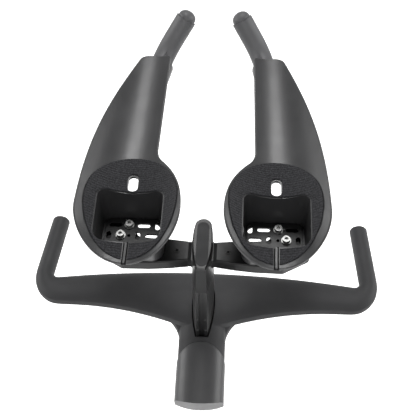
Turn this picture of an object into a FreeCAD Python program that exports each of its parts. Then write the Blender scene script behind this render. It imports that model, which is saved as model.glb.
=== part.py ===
import FreeCAD
import Part
import math
import os
import re
import Sketcher
from FreeCAD import Placement, Rotation, Vector

# Time trial handlebar in millimetres. +X is right, +Y forward, +Z up, as it sits on the bicycle.
# The origin is on the steerer axis, at the lower face of the clamp.

SIZES = [
    ("horn_span", 404, "between the horn axes at their tips"),
    ("horn_toe", 6, "how far each horn turns in towards its tip"),
    ("horn_dia", 23, "outside of a horn"),
    ("horn_reach", 218, "steerer to the horn tips"),
    ("horn_rise", 7, "lift of the horn tips"),
    ("bar_level", 49.5, "height of the bar's middle line"),
    ("bar_front", 139.5, "front edge of the bar at the middle"),
    ("bar_sweep", 15.5, "how far the front edge falls back at the bend"),
    ("bar_rear", 84.8, "rear edge of the bar at the bend"),
    ("bar_flare", 38, "how far the rear edge runs back into the stem"),
    ("bar_thick", 26, "bar thickness at the middle"),
    ("bar_thin", 20.5, "bar thickness at the bend"),
    ("bend_inner", 6, "inner radius of the bend"),
    ("web_round", 21.5, "plan radius of the corner between stem and bar"),
    ("web_chord", 26, "how deep that corner's web runs into both"),
    ("lever_bore", 20, "bore in the horn tips"),
    ("lever_depth", 40, "depth of that bore"),
    ("stem_tilt", 17.5, "lean of the steerer from upright, degrees"),
    ("stem_width", 57, "stem width"),
    ("stem_height", 38.5, "clamp face to crown"),
    ("stem_crown", 18, "height of the rounded crown"),
    ("stem_tail", 27, "steerer axis to the rear end"),
    ("stem_front", 84, "steerer axis to where the stem sinks into the bar"),
    ("stem_lift", 12, "lift of the underside at the bar"),
    ("stem_corner", 7, "rounding of the lower edges"),
    ("steerer_bore", 28.7, "bore of the steerer clamp"),
    ("clamp_height", 30, "height of the clamp bore"),
    ("clamp_slit", 2, "slit of the clamp"),
    ("pinch_back", 18.6, "pinch bolts behind the steerer axis"),
    ("pinch_low", 8.5, "height of the lower pinch bolt"),
    ("pinch_step", 12.5, "between the two pinch bolts"),
    ("pinch_dia", 4, "pinch bolt thread"),
    ("cover_wall", 2.4, "wall of the stem cover"),
    ("cover_proud", 0.9, "how far the cover stands proud of the stem"),
    ("cover_low", 5, "lower edge of the cover above the clamp face"),
    ("cover_arch", 16, "centre of the arched seam ahead of the steerer"),
    ("cover_bow", 80, "radius of the cover's rear end"),
    ("seam_gap", 0.4, "open seam round the cover"),
    ("fit_gap", 0.15, "gap round fitted pieces"),
    ("post_nose", 12, "nose radius of the riser post"),
    ("post_front", 110, "front of the riser post"),
    ("post_rear", 40, "rear of the riser post"),
    ("post_tail", 13, "width of the post's flat tail"),
    ("post_flank", 150, "flank radius of the post"),
    ("post_floor", 47, "floor of the post's socket"),
    ("foot_height", 17, "end foot of the riser"),
    ("low_height", 20, "low spacer"),
    ("high_height", 50, "high spacer"),
    ("groove_width", 6.5, "cable groove in the post's tail"),
    ("groove_depth", 3, "depth of that groove"),
    ("gasket_width", 1.4, "ring between post and socket"),
    ("gasket_height", 4, "height of that ring"),
    ("riser_bolt", 6, "riser bolt thread"),
    ("riser_bolt_rear", 64, "rear riser bolt"),
    ("riser_bolt_front", 94, "front riser bolt"),
    ("riser_grip", 14, "length of thread in the head"),
    ("head_nose", 9, "nose radius of the head's top"),
    ("head_front", 107, "front of the head's top"),
    ("head_tail", 9.5, "tail width of the head's top"),
    ("head_flank", 110, "flank radius of the head's top"),
    ("head_top", 3.8, "height of the head's top at its rear above the arm datum"),
    ("head_bevel", 1.5, "bevel round the head's top"),
    ("cap_length", 58, "inset cap"),
    ("cap_width", 13.6, "width of the cap"),
    ("cap_depth", 2.4, "thickness of the cap"),
    ("arm_pitch", 10, "pitch of bridge and arms, degrees"),
    ("arm_back", 60.3, "arm datum ahead of the steerer"),
    ("arm_level", 171.7, "height of the arm datum"),
    ("boss_half", 12.5, "half width of the head's boss"),
    ("collar_thick", 3.8, "dark collar between head and wing"),
    ("root_depth", 25.4, "wing root, front to rear"),
    ("wing_thick", 16.5, "wing thickness"),
    ("wing_tip", 122, "wing tip from the middle"),
    ("wing_front", 49, "front of the wing's paddle"),
    ("wing_shoulder", 21, "from the root and from the well to the bends of the wing"),
    ("wing_side", 37, "depth of the paddle at its outer end"),
    ("wing_step", 19, "step between the arm of the wing and its paddle"),
    ("wing_round", 2, "rounding of the wing's edges"),
    ("axle_dia", 9, "bridge axle"),
    ("axle_half", 46, "half length of the axle"),
    ("wing_screw_x", 29, "set screw from the middle"),
    ("wing_screw", 6, "set screw thread"),
    ("well_x", 81, "middle of the well from the middle plane"),
    ("well_half", 34.5, "half width of the well's floor"),
    ("well_length", 53, "length of the well's floor"),
    ("well_draft", 5.6, "how far the walls lean out in front and behind"),
    ("well_spread", 0.3, "lean of the side walls as a share of that"),
    ("well_corner", 11, "corner radius of the well"),
    ("plate_corner", 6, "corner radius of the slotted plate"),
    ("well_wall", 3, "wall of the well"),
    ("window_half", 31, "half width of the window under the plate"),
    ("window_length", 42, "length of that window"),
    ("plate_thick", 2.5, "slotted plate"),
    ("floor_thick", 2.8, "floor of the well under the plate"),
    ("trough_low", 38.7, "trough above the plate"),
    ("trough_rear", 80, "trough radius behind the elbow"),
    ("trough_front", 44, "trough radius at the hands"),
    ("trough_length", 340, "length over which the radius changes"),
    ("trough_yaw", 1.6, "how the trough turns in, degrees"),
    ("shell", 3.4, "shell thickness of the arm"),
    ("rim_round", 1.2, "rounding of the arm's rim"),
    ("cup_radius", 58, "rear of the cup in plan"),
    ("cup_along", 24, "centre of the cup's rear"),
    ("cup_inner", 125, "inner side of the cup in plan"),
    ("arm_outer", 790, "outer edge of the arm in plan"),
    ("arm_length", 277, "front of the arm"),
    ("tip_outer", 88, "outer front corner"),
    ("tip_inner", 52.5, "inner front corner"),
    ("waist", 56.5, "inner edge where the cup ends"),
    ("waist_round", 28, "concave rounding at the waist"),
    ("slot_width", 11, "slot ahead of the well"),
    ("slot_length", 22, "length of that slot"),
    ("split_width", 1.6, "grooves in the cup's rear rim"),
    ("split_rib", 2.2, "rib between those grooves"),
    ("pad_x", 79.4, "middle of the pad's outline"),
    ("pad_inset", 3, "least distance of the pad from the arm's outline"),
    ("pad_half", 51, "half width of the loop pad"),
    ("pad_reach", 68, "half length of the loop pad"),
    ("pad_along", 38.9, "centre of the loop pad"),
    ("pad_thick", 1.4, "thickness of the loop pad"),
    ("pad_lift", 0.3, "glue line under the loop pad"),
    ("plate_slot", 5.6, "slot width in the plate"),
    ("plate_row", 14.1, "between the rows of slots"),
    ("plate_first", 40.5, "front row of slots"),
    ("arm_bolt", 5, "arm bolt thread"),
    ("washer_dia", 11.2, "washer under an arm bolt"),
    ("washer_thick", 1.2, "thickness of the washer"),
    ("grip_x", 67, "grip axis at the front of the arm"),
    ("grip_drop", 16.1, "grip axis below the trough"),
    ("grip_dia", 26.8, "grip tube"),
    ("grip_bore", 21, "bore of the grip tube"),
    ("seat_yaw", 11, "how far the socket turns in, degrees"),
    ("grip_seat", 55, "length of grip inside the socket"),
    ("grip_tuck", 2, "start of the bend behind the front of the arm"),
    ("grip_bend", 43, "bend radius of the grip"),
    ("grip_lift", 45, "how far the grip turns up, degrees"),
    ("grip_toe", 47, "how far the grip turns in, degrees"),
    ("grip_hold", 30, "straight part after the bend"),
    ("socket_wall", 3.4, "wall of the grip socket"),
    ("socket_taper", 45, "tapered rear of the socket"),
    ("grip_screw", 5, "grip set screw thread"),
]

doc = FreeCAD.newDocument("handlebar")
sheet = doc.addObject("Spreadsheet::Sheet", "sizes")
for row, (alias, value, note) in enumerate(SIZES, 1):
    sheet.set(f"A{row}", note)
    sheet.set(f"B{row}", str(value))
    sheet.setAlias(f"B{row}", alias)
doc.recompute()

NAMES = {alias for alias, value, note in SIZES}
X_AXIS = Vector(1, 0, 0)
Y_AXIS = Vector(0, 1, 0)
Z_AXIS = Vector(0, 0, 1)


def size(alias):
    return float(sheet.get(alias))


def bound(text):
    """Expression text with every size name pointed at the sheet."""
    return re.sub(r"[a-z_]+", lambda word: "sizes." + word[0] if word[0] in NAMES else word[0], text)


def bind(obj, **fields):
    for field, text in fields.items():
        obj.setExpression(field, bound(text))
    return obj


def at(obj, x="0", y="0", z="0", turn=None):
    """Bind the place of an object; turn is a fixed rotation."""
    if turn:
        obj.Placement = Placement(Vector(), turn)
    for axis, text in zip("xyz", (x, y, z)):
        obj.setExpression("Placement.Base." + axis, bound(text))
    return obj


def box(name, length, width, height, x, y, z):
    obj = bind(doc.addObject("Part::Box", name), Length=length, Width=width, Height=height)
    return at(obj, x, y, z)


def rod(name, radius, height, x="0", y="0", z="0", along=Z_AXIS):
    obj = bind(doc.addObject("Part::Cylinder", name), Radius=radius, Height=height)
    return at(obj, x, y, z, Rotation(Z_AXIS, along))


def hexagon(name, radius, height, x="0", y="0", z="0", along=Z_AXIS):
    obj = bind(doc.addObject("Part::Prism", name), Circumradius=radius, Height=height)
    return at(obj, x, y, z, Rotation(Z_AXIS, along))


def fuse(name, *pieces):
    obj = doc.addObject("Part::MultiFuse", name)
    obj.Shapes = list(pieces)
    return obj


def common(name, first, second):
    obj = doc.addObject("Part::Common", name)
    obj.Base = first
    obj.Tool = second
    return obj


def cut(name, base, *tools):
    obj = doc.addObject("Part::Cut", name)
    obj.Base = base
    obj.Tool = tools[0] if len(tools) == 1 else fuse(name + "_tools", *tools)
    return obj


def group(name, *pieces):
    obj = doc.addObject("Part::Compound", name)
    obj.Links = list(pieces)
    return obj


def loft(name, sections, ruled=False):
    obj = doc.addObject("Part::Loft", name)
    obj.Sections = sections
    obj.Solid = True
    obj.Ruled = ruled
    return obj


def extrude(name, sketch, length):
    obj = doc.addObject("Part::Extrusion", name)
    obj.Base = sketch
    obj.DirMode = "Custom"
    obj.Dir = Z_AXIS
    obj.Solid = True
    return bind(obj, LengthFwd=length)


def mirror(name, source):
    obj = doc.addObject("Part::Mirroring", name)
    obj.Source = source
    obj.Normal = X_AXIS
    return obj


def soften(name, base, radius, pick, kind="Part::Fillet"):
    """Round or bevel the edges of base that pick accepts."""
    doc.recompute()
    obj = doc.addObject(kind, name)
    obj.Base = base
    found = [index for index, edge in enumerate(base.Shape.Edges, 1) if pick(edge)]
    obj.Edges = [(index, radius, radius) for index in found]
    return obj


def middle(edge):
    return edge.valueAt((edge.FirstParameter + edge.LastParameter) / 2)


def upright(edge):
    along = edge.tangentAt(edge.FirstParameter)
    return abs(along.z) > 0.99


def rule(sketch, name, text, *terms):
    """A driving constraint, named and bound to the sheet."""
    index = sketch.addConstraint(Sketcher.Constraint(*terms))
    sketch.renameConstraint(index, name)
    sketch.setExpression("Constraints." + name, bound(text))


def link(sketch, *terms):
    sketch.addConstraint(Sketcher.Constraint(*terms))


def arc(centre, radius, start, end):
    return Part.ArcOfCircle(Part.Circle(centre, Z_AXIS, radius), start, end)


def angle(vector):
    return math.atan2(vector.y, vector.x)


def inner_tangent(nose, radius, reach, point, side):
    """Centre of a large arc that holds the nose circle, touches it and ends in point."""
    gap = point - nose
    away = reach - radius
    turn = math.acos((away ** 2 + gap.Length ** 2 - reach ** 2) / (2 * away * gap.Length))
    heading = angle(gap) + side * turn
    return nose + Vector(math.cos(heading), math.sin(heading), 0) * away


def teardrop(name, height, nose, front, tail, flank="post_flank", grow="0", grown=0.0):
    """Plan of the riser: nose arc, two flank arcs and a flat tail, grown outwards by a margin."""
    radius = size(nose) + grown
    reach = size(flank) + grown
    centre = Vector(0, size(front) - size(nose), 0)
    corner = Vector(size(tail) / 2 + grown, size("post_rear") - grown, 0)
    right = inner_tangent(centre, radius, reach, corner, -1)
    left = Vector(-right.x, right.y, 0)
    low = angle(corner - right)
    high = angle(centre - right)
    sketch = doc.addObject("Sketcher::SketchObject", name)
    sketch.addGeometry(arc(right, reach, low, high))
    sketch.addGeometry(arc(centre, radius, high, math.pi - high))
    sketch.addGeometry(arc(left, reach, math.pi - high, math.pi - low))
    sketch.addGeometry(Part.LineSegment(Vector(-corner.x, corner.y, 0), corner))
    link(sketch, "Tangent", 0, 2, 1, 1)
    link(sketch, "Tangent", 1, 2, 2, 1)
    link(sketch, "Coincident", 2, 2, 3, 1)
    link(sketch, "Coincident", 3, 2, 0, 1)
    link(sketch, "PointOnObject", 1, 3, -2)
    link(sketch, "Equal", 0, 2)
    link(sketch, "Symmetric", 3, 1, 3, 2, -2)
    rule(sketch, "nose", f"{nose} + {grow}", "Radius", 1, radius)
    rule(sketch, "flank", f"{flank} + {grow}", "Radius", 0, reach)
    rule(sketch, "centre", f"{front} - {nose}", "DistanceY", -1, 1, 1, 3, centre.y)
    rule(sketch, "tail", f"{tail} + 2 * {grow}", "DistanceX", 3, 1, 3, 2, 2 * corner.x)
    rule(sketch, "rear", f"post_rear - {grow}", "DistanceY", -1, 1, 3, 1, corner.y)
    return at(sketch, z=height)


def polygon(name, points, x="0", y="0", z="0"):
    """Closed outline of straight edges; each corner is a pair of size expressions and a first guess."""
    sketch = doc.addObject("Sketcher::SketchObject", name)
    corners = [Vector(guess[0], guess[1], 0) for guess, across, along in points]
    count = len(points)
    for index in range(count):
        sketch.addGeometry(Part.LineSegment(corners[index], corners[(index + 1) % count]))
    for index, (guess, across, along) in enumerate(points):
        link(sketch, "Coincident", index, 2, (index + 1) % count, 1)
        rule(sketch, f"across{index}", across, "DistanceX", -1, 1, index, 1, guess[0])
        rule(sketch, f"along{index}", along, "DistanceY", -1, 1, index, 1, guess[1])
    return at(sketch, x, y, z)


def slot(name, width, length, height, x, y, z, lengthwise=True):
    """Prism with round ends, centred on x and y."""
    half = f"({length} - {width}) / 2"
    straight = f"{length} - {width}"
    radius = f"{width} / 2"
    if lengthwise:
        body = box(name + "_body", width, straight, height, f"{x} - {radius}", f"{y} - {half}", z)
        ends = [rod(f"{name}_end{sign}", radius, height, x, f"{y} {sign} {half}", z) for sign in "-+"]
    else:
        body = box(name + "_body", straight, width, height, f"{x} - {half}", f"{y} - {radius}", z)
        ends = [rod(f"{name}_end{sign}", radius, height, f"{x} {sign} {half}", y, z) for sign in "-+"]
    return fuse(name, body, *ends)


def section(name, edges, place):
    """Closed wire for a loft, computed from the sheet."""
    obj = doc.addObject("Part::Feature", name)
    obj.Shape = Part.Wire(edges)
    obj.Placement = place
    return obj


# Base bar: aerofoil stations from the middle plane to the bend, round the bend, then along the round horn.
# One smooth skin runs over all of them, which a plain loft can't do round so tight a bend.
TAIL_TURN = math.radians(20)
OUTWARD = Rotation(Vector(1, 1, 1), 120)


def fitted(spots):
    """Curve through evenly numbered spots, so that all stations share their knots."""
    curve = Part.BSplineCurve()
    last = len(spots) - 1
    curve.interpolate(Points=spots, Parameters=[step / last for step in range(last + 1)])
    return curve


def aerofoil(front, rear, thick, roundness, place):
    """Ellipse with a cut tail as three curves; a roundness of 1 closes the tail to the full ellipse."""
    share = math.cos(TAIL_TURN)
    bulge = (1 - share) * roundness
    half = (front - rear) / (1 + share + bulge)
    rise = thick / 2
    middle_x = front - half

    def spot(turn):
        return place.multVec(Vector(middle_x + half * math.cos(turn), rise * math.sin(turn), 0))

    def tail_spot(step):
        turn = math.pi + TAIL_TURN * step
        out = share + (-math.cos(turn) - share) * roundness
        return place.multVec(Vector(middle_x - half * out, rise * math.sin(turn), 0))

    turns = [(math.pi - TAIL_TURN) * step / 8 for step in range(9)]
    top = fitted([spot(turn) for turn in turns])
    tail = fitted([tail_spot(step) for step in (-1, -0.5, 0, 0.5, 1)])
    low = fitted([spot(-turn) for turn in reversed(turns)])
    return top, tail, low


bend_x = size("horn_span") / 2 + size("horn_toe") - size("horn_dia") / 2 - size("bend_inner")
pivot_y = size("bar_front") - size("bar_sweep") + size("bend_inner")
end_chord = size("bar_front") - size("bar_sweep") - size("bar_rear")
horn_start = pivot_y - size("bend_inner") - end_chord / 2
nearest = -size("bend_inner")
stations = []


def bar_back(x):
    """Rear edge of the bar, which runs back into the stem."""
    return size("bar_rear") - size("bar_flare") * max(0, 1 - 1.17 * x / bend_x) ** 2


def horn_height(y):
    share = (y - horn_start) / (size("horn_reach") - horn_start)
    return size("bar_level") + size("horn_rise") * max(0, share)


for count in range(14):
    share = count / 14
    front = size("bar_front") - size("bar_sweep") * share ** 2
    rear = bar_back(bend_x * share)
    thick = size("bar_thick") + (size("bar_thin") - size("bar_thick")) * share
    place = Placement(Vector(bend_x * share, 0, size("bar_level")), OUTWARD)
    stations.append(aerofoil(front, rear, thick, 0.15, place))
for turn in range(0, 91, 15):
    lean = math.sin(math.radians(turn))
    chord = size("horn_dia") + (end_chord - size("horn_dia")) * (1 - lean)
    thick = size("bar_thin") + (size("horn_dia") - size("bar_thin")) * lean
    along = pivot_y + (nearest - chord / 2) * math.cos(math.radians(turn))
    place = Placement(Vector(bend_x, pivot_y, horn_height(along)), Rotation(Z_AXIS, turn) * OUTWARD)
    stations.append(aerofoil(nearest, nearest - chord, thick, 0.15 + 0.85 * lean, place))
for count in range(1, 7):
    share = count / 6
    along = pivot_y + (size("horn_reach") - pivot_y) * share
    inset = bend_x - size("horn_toe") * share
    place = Placement(Vector(inset, along, horn_height(along)), Rotation(Z_AXIS, 90) * OUTWARD)
    stations.append(aerofoil(nearest, nearest - size("horn_dia"), size("horn_dia"), 1, place))


def skin(curves):
    """Smooth face that uses the poles of the stations as its own."""
    spans = len(curves) - 3
    ends = [4] + [1] * (spans - 1) + [4]
    first = curves[0]
    surface = Part.BSplineSurface()
    surface.buildFromPolesMultsKnots(
        [curve.getPoles() for curve in curves], ends, first.getMultiplicities(),
        list(range(spans + 1)), first.getKnots(), False, False, 3, first.Degree)
    return surface.toShape()


def cap(curves):
    return Part.Face(Part.Wire([curve.toShape() for curve in curves]))


def skinned(name, stations):
    """Solid under one smooth skin over all stations."""
    faces = [skin(curves) for curves in zip(*stations)]
    shell = Part.makeShell(faces + [cap(stations[0]), cap(stations[-1])])
    shell.sewShape()
    obj = doc.addObject("Part::Feature", name)
    obj.Shape = Part.makeSolid(shell)
    return obj


bar_right = skinned("bar_right", stations)
bar_left = mirror("bar_left", bar_right)

# Webs that round the corners between stem and bar, turned about a point outside each corner.
stem_lean = math.radians(size("stem_tilt"))
web_x = size("stem_width") / 2 + size("web_round") - 0.4
web_y = bar_back(web_x) - size("web_round") + 1.5
web_low = web_y * math.tan(stem_lean) + size("stem_height") * 0.45
web_far = size("web_round") + size("web_chord")


def web_station(turn, x, y, z):
    lean = math.sin(math.radians(turn))
    height = size("bar_level") + (web_low - size("bar_level")) * lean ** 2
    place = Placement(Vector(web_x + x, web_y + y, height + z), Rotation(Z_AXIS, turn) * OUTWARD)
    return aerofoil(web_far, size("web_round"), size("bar_thin") * (0.95 + 0.15 * lean), 0.15, place)


web_stations = [web_station(90, -1, -20, -20 * math.tan(stem_lean))]
web_stations += [web_station(turn, 0, 0, 0) for turn in range(90, -1, -15)]
web_stations += [web_station(0, 20, 8, 0)]
web_right = skinned("web_right", web_stations)
web_left = mirror("web_left", web_right)

# Stem: a box with a rounded crown, square to the steerer, with its underside rising to the bar.
STEM = Rotation(X_AXIS, size("stem_tilt"))
STEM_FACE = Rotation(X_AXIS, size("stem_tilt") + 90)


def along_stem(station):
    return Vector(0, station * math.cos(stem_lean), station * math.sin(stem_lean))


def crowned(name, station, inset, bottom, corner):
    half = size("stem_width") / 2 - inset
    top = size("stem_height") - inset
    rise = min(size("stem_crown"), 0.95 * half)
    shoulder = top - rise
    round_off = corner * (1 - math.sqrt(0.5))
    crown = Part.ArcOfEllipse(Part.Ellipse(Vector(0, shoulder, 0), half, rise), 0, math.pi)
    right_arc = Part.Arc(
        Vector(half - corner, bottom, 0),
        Vector(half - round_off, bottom + round_off, 0),
        Vector(half, bottom + corner, 0),
    )
    left_arc = Part.Arc(
        Vector(-half, bottom + corner, 0),
        Vector(round_off - half, bottom + round_off, 0),
        Vector(corner - half, bottom, 0),
    )
    edges = [
        Part.LineSegment(Vector(corner - half, bottom, 0), Vector(half - corner, bottom, 0)),
        right_arc,
        Part.LineSegment(Vector(half, bottom + corner, 0), Vector(half, shoulder, 0)),
        crown,
        Part.LineSegment(Vector(-half, shoulder, 0), Vector(-half, bottom + corner, 0)),
        left_arc,
    ]
    return section(name, [edge.toShape() for edge in edges], Placement(along_stem(station), STEM_FACE))


def stem_rod(name, radius, height, x, s, n, along=Z_AXIS):
    """Cylinder placed in the stem's own frame: x across, s forward along the stem, n up the steerer."""
    obj = bind(doc.addObject("Part::Cylinder", name), Radius=radius, Height=height)
    return to_stem(obj, x, s, n, Rotation(Z_AXIS, along))


def to_stem(obj, x, s, n, turn=Rotation()):
    obj.Placement = Placement(Vector(), STEM * turn)
    lean = "stem_tilt * 1 deg"
    bind(obj, **{"Placement.Base.x": x})
    bind(obj, **{"Placement.Base.y": f"({s}) * cos({lean}) - ({n}) * sin({lean})"})
    return bind(obj, **{"Placement.Base.z": f"({s}) * sin({lean}) + ({n}) * cos({lean})"})


def stem_box(name, length, width, height, x, s, n):
    obj = bind(doc.addObject("Part::Box", name), Length=length, Width=width, Height=height)
    return to_stem(obj, x, s, n)


def bow(name, depth):
    """Cylinder square to the stem whose rear side is the bowed end, a depth inside the cover's."""
    centre = "cover_bow - stem_tail - cover_proud"
    return stem_rod(name, f"cover_bow - {depth}", "stem_height + 40", "0", centre, "-20")


def cover_plan(name, gap):
    """Prism over the rear of the stem: straight sides, arched front and slightly bowed rear."""
    half = f"(stem_width / 2 + 2 + {gap})"
    low = f"cover_low - {gap}"
    body = stem_box(name + "_body", f"2 * {half}", f"cover_arch + stem_tail + 2 + {gap}", "stem_height",
                    f"-{half}", f"-stem_tail - 2 - {gap}", low)
    arch = stem_rod(name + "_arch", half, "stem_height", "0", "cover_arch", low)
    return common(name, fuse(name + "_sum", body, arch), bow(name + "_bow", f"(0 - {gap})"))


def stem_prism(name, inset, depth):
    """Crowned prism an inset inside the stem's sides, with its bowed end a depth inside the cover's."""
    bottom = size("cover_low") / 2
    sections = [crowned(f"{name}_section{count}", station, inset, bottom, 2)
                for count, station in enumerate((behind_stem, size("stem_front") - 10))]
    return common(name, loft(name + "_loft", sections, ruled=True), bow(name + "_bow", depth))


behind_stem = -size("stem_tail") - 4
corner = size("stem_corner")
stem_loft = loft(
    "stem_loft",
    [
        crowned("stem_rear", behind_stem, 0, 0, corner),
        crowned("stem_middle", size("stem_tail"), 0, 0, corner),
        crowned("stem_end", size("stem_front"), 0, size("stem_lift"), corner),
    ],
    ruled=True,
)
stem_solid = common("stem_solid", stem_loft, bow("stem_bow", "cover_proud"))
wall = size("cover_wall")
cover_skin = stem_prism("cover_skin", -size("cover_proud"), "(0 - 2)")
cover_hollow = stem_prism("cover_hollow", wall, "(cover_proud + cover_wall)")
stem_core = stem_prism("stem_core", wall + size("fit_gap"), "(cover_proud + cover_wall + fit_gap)")
cover_block = common("cover_block", cover_plan("cover_outline", "0"), cover_skin)


def on_cover_arch(edge):
    """Front edge of the cover's skin, where it follows the arch."""
    ahead = middle(edge).dot(along_stem(1))
    curved = edge.Curve.TypeId != "Part::GeomLine"
    return curved and ahead > size("cover_arch") and edge.BoundBox.ZMin > size("cover_low") + 6


cover_eased = soften("cover_eased", cover_block, 0.8, on_cover_arch)
stem_cover = cut("stem_cover", cover_eased, cover_hollow)
cover_pocket = cut("cover_pocket", cover_plan("pocket_outline", "seam_gap"), stem_core)

# Clamp at the rear of the stem: bore, slit and two pinch bolts across it.
clamp_bore = stem_rod("clamp_bore", "steerer_bore / 2", "stem_height + 20", "0", "0", "-10")
clamp_top = stem_rod("clamp_top", "steerer_bore / 2 + 3", "stem_height", "0", "0", "clamp_height")
clamp_slit = stem_box("clamp_slit", "clamp_slit", "stem_tail + 10", "stem_height + 20", "-clamp_slit / 2",
                      "-stem_tail - 10", "-10")
pinch_holes = []
pinch_bolts = []
for count, level in enumerate(("pinch_low", "pinch_low + pinch_step")):
    name = f"pinch{count}"
    behind = "-pinch_back"
    head_from = "stem_width * 0.26"
    spot = (behind, level, X_AXIS)
    pinch_holes += [
        stem_rod(name + "_hole", "pinch_dia / 2 + 0.05", "stem_width * 0.66", "-stem_width * 0.37", *spot),
        stem_rod(name + "_sink", "pinch_dia * 0.9", "stem_width", head_from, *spot),
    ]
    shank = stem_rod(name + "_shank", "pinch_dia / 2", "stem_width * 0.61", "-stem_width * 0.34", *spot)
    head = stem_rod(name + "_head", "pinch_dia * 0.85", "pinch_dia * 0.9", head_from, *spot)
    socket = bind(doc.addObject("Part::Prism", name + "_socket"), Circumradius="pinch_dia * 0.46",
                  Height="pinch_dia")
    to_stem(socket, f"{head_from} + pinch_dia * 0.4", behind, level, Rotation(Z_AXIS, X_AXIS))
    pinch_bolts.append(cut(name, fuse(name + "_whole", shank, head), socket))
steerer_bolts = group("steerer_bolts", *pinch_bolts)

# Riser post: a foot in the bar's socket and two spacers, all of one plan, with a cable groove in the tail.
HEIGHTS = ["post_floor"]
for step in ("foot_height", "low_height", "high_height"):
    HEIGHTS.append(HEIGHTS[-1] + " + " + step)
stack_top = HEIGHTS[-1]
bolt_rows = ("riser_bolt_rear", "riser_bolt_front")


def level_edges(*levels):
    def pick(edge):
        flat = abs(edge.BoundBox.ZLength) < 0.01
        outer = edge.Curve.TypeId != "Part::GeomCircle" or edge.Curve.Radius > 5
        return flat and outer and any(abs(middle(edge).z - level) < 0.01 for level in levels)
    return pick


spacers = []
floor = size("post_floor")
for count, (name, step) in enumerate((("riser_foot", "foot_height"), ("riser_spacer_low", "low_height"),
                                      ("riser_spacer_high", "high_height"))):
    plan = teardrop(name + "_plan", HEIGHTS[count], "post_nose", "post_front", "post_tail")
    whole = extrude(name + "_whole", plan, step)
    edges = level_edges(floor, floor + size(step))
    edged = soften(name + "_edged", whole, 0.4, edges, "Part::Chamfer")
    floor += size(step)
    groove = box(name + "_groove", "groove_width", "groove_depth + 2", f"{step} + 2", "-groove_width / 2",
                 "post_rear - 2", f"{HEIGHTS[count]} - 1")
    below = f"{HEIGHTS[count]} - 1"
    holes = [rod(f"{name}_hole{side}", "riser_bolt / 2 + 0.2", f"{step} + 2", "0", row, below)
             for side, row in enumerate(bolt_rows)]
    spacers.append(cut(name, edged, groove, *holes))

socket_plan = teardrop("socket_plan", "post_floor", "post_nose", "post_front", "post_tail",
                       grow="gasket_width", grown=size("gasket_width"))
socket = extrude("socket", socket_plan, "foot_height + 20")
ring = extrude("gasket_ring", socket_plan, "gasket_height")
foot_plan = teardrop("gasket_inner_plan", "post_floor - 1", "post_nose", "post_front", "post_tail",
                     grow="fit_gap", grown=size("fit_gap"))
gasket_inner = extrude("gasket_inner", foot_plan, "gasket_height + 2")
riser_gasket = cut("riser_gasket", ring, gasket_inner)

# Long bolts from under the bar through the stack into the head.
bolt_seat = "post_floor - 5"
riser_bolts = []
bar_holes = []
for side, row in enumerate(bolt_rows):
    name = f"riser_bolt{side}"
    bar_holes.append(rod(name + "_hole", "riser_bolt / 2 + 0.2", "30", "0", row, "post_floor - 20"))
    bar_holes.append(rod(name + "_sink", "riser_bolt * 0.95", "60", "0", row, f"{bolt_seat} - 60"))
    reach = f"5 + {stack_top} - post_floor + riser_grip"
    shank = rod(name + "_shank", "riser_bolt / 2", reach, "0", row, bolt_seat)
    head = rod(name + "_head", "riser_bolt * 0.83", "riser_bolt", "0", row, f"{bolt_seat} - riser_bolt")
    hexed = hexagon(name + "_socket", "riser_bolt * 0.48", "riser_bolt * 0.6", "0", row,
                    f"{bolt_seat} - riser_bolt - 0.1")
    riser_bolts.append(cut(name, fuse(name + "_whole", shank, head), hexed))
riser_bolt_group = group("riser_bolts", *riser_bolts)

# Bores in the horn tips for the brake levers.
horn_slope = size("horn_rise") / (size("horn_reach") - horn_start)
horn_turn = size("horn_toe") / (size("horn_reach") - pivot_y)
lever_bores = []
for sign, side in (("-", -1), ("+", 1)):
    out = Vector(-side * horn_turn, 1, horn_slope).normalize() * 5
    bore = bind(doc.addObject("Part::Cylinder", f"lever_bore{side + 1}"), Radius="lever_bore / 2",
                Height="lever_depth + 5")
    at(bore, f"{sign}horn_span / 2 + ({out.x})", f"horn_reach + {out.y}", f"bar_level + horn_rise + {out.z}",
       Rotation(Z_AXIS, out * -1))
    lever_bores.append(bore)

bar_body = fuse("bar_body", bar_right, bar_left, stem_solid, web_right, web_left)
base_bar = cut("base_bar", bar_body, cover_pocket, clamp_bore, clamp_top, clamp_slit, socket, *pinch_holes,
               *bar_holes, *lever_bores)

# Pitched datum that bridge and arms share: X across, Y forward along the arm, Z square to it.
PITCH = Rotation(X_AXIS, size("arm_pitch"))
wing_top = "(-plate_thick - floor_thick)"
wing_low = f"({wing_top} - wing_thick)"
axle_u = "root_depth * 0.46"
axle_w = f"({wing_top} - wing_thick / 2)"


def to_arm(obj):
    obj.Placement = Placement(Vector(), PITCH)
    bind(obj, **{"Placement.Base.y": "arm_back", "Placement.Base.z": "arm_level"})
    return bind(obj, **{"Placement.Rotation.Angle": "arm_pitch * 1 deg"})


# Head of the riser: lofted from the post's plan to a wider top, cut at the pitch of the arms.
top_level = "(arm_level + head_top)"
head_low = teardrop("head_low_plan", stack_top, "post_nose", "post_front", "post_tail")
head_high = teardrop("head_high_plan", f"{top_level} + 20", "head_nose", "head_front", "head_tail",
                     "head_flank")
head_loft = loft("head_loft", [head_low, head_high], ruled=True)
head_trim = box("head_trim", "100", "200", "100", "-50", "-50", "0")
head_trim.Placement = Placement(Vector(), PITCH)
bind(head_trim, **{"Placement.Base.x": "-50", "Placement.Base.y": "post_rear - 50 * cos(arm_pitch * 1 deg)",
                   "Placement.Base.z": f"{top_level} - 50 * sin(arm_pitch * 1 deg)"})
head_cut = cut("head_cut", head_loft, head_trim)
top_normal = PITCH.multVec(Z_AXIS)
top_point = Vector(0, size("post_rear"), size("arm_level") + size("head_top"))


def on_head_top(edge):
    return all(abs((vertex.Point - top_point).dot(top_normal)) < 0.01 for vertex in edge.Vertexes)


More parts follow.
